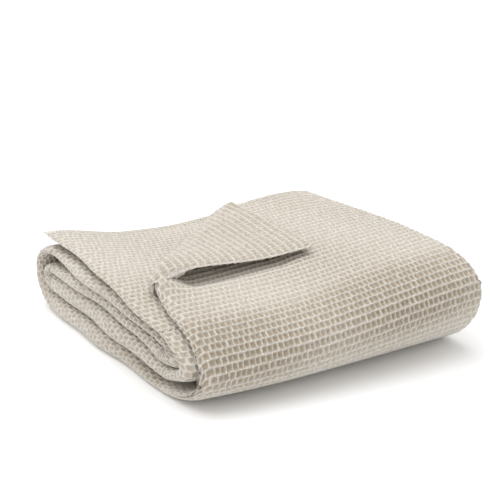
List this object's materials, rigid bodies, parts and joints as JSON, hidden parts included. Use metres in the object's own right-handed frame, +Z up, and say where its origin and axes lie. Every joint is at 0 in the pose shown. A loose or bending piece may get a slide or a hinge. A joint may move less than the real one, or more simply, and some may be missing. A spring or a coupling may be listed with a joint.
{
  "type": "folded throw blanket",
  "caption": "Waffle-weave throw folded into a stack of six soft layers, with one top corner turned over; the top leaf, turned corner and a free corner lift.",
  "frame": {"origin": "centre of the folded stack's footprint, on the surface it lies on", "axes": "+Z up, +X along the long front fold, +Y from the front fold to the back folds"},
  "size_m": [0.3652, 0.3686, 0.1075],
  "materials": {
    "waffle_cloth": "oatmeal cotton and linen waffle weave, matt, with raised ridges and square recesses",
    "hem_cloth": "the same cloth, turned under twice and stitched flat"
  },
  "bodies": {
    "stack": {"base_panel": "waffle_cloth", "lower_panel": "waffle_cloth", "middle_panel": "waffle_cloth", "upper_panel": "waffle_cloth", "second_leaf": "waffle_cloth", "second_leaf_hem": "hem_cloth", "back_outer_fold": "waffle_cloth", "back_inner_fold": "waffle_cloth", "front_inner_fold": "waffle_cloth", "front_middle_fold": "waffle_cloth", "front_outer_fold": "waffle_cloth"},
    "top_leaf": {"top_leaf": "waffle_cloth", "top_leaf_hem": "hem_cloth", "corner_crease": "waffle_cloth"},
    "corner_flap": {"corner_flap": "waffle_cloth", "corner_flap_hem": "hem_cloth"},
    "back_corner": {"back_corner_tip": "hem_cloth"}
  },
  "joints": [
    {"name": "top_leaf_open", "type": "hinge", "parent": "stack", "child": "top_leaf", "pos_m": [0, -0.142, 0.056], "axis": [1, 0, 0], "range_deg": [0, 180], "deforming": ["front_outer_fold"]},
    {"name": "corner_flap_turn", "type": "hinge", "parent": "top_leaf", "child": "corner_flap", "pos_m": [-0.14326, -0.04581, 0.0958], "axis": [-0.7217, -0.6922, 0], "range_deg": [0, 170], "deforming": ["corner_crease"]},
    {"name": "back_corner_lift", "type": "hinge", "parent": "stack", "child": "back_corner", "pos_m": [-0.17949, 0.12671, 0.0887], "axis": [0.6752, 0.7339, -0.074], "range_deg": [0, 100]}
  ]
}
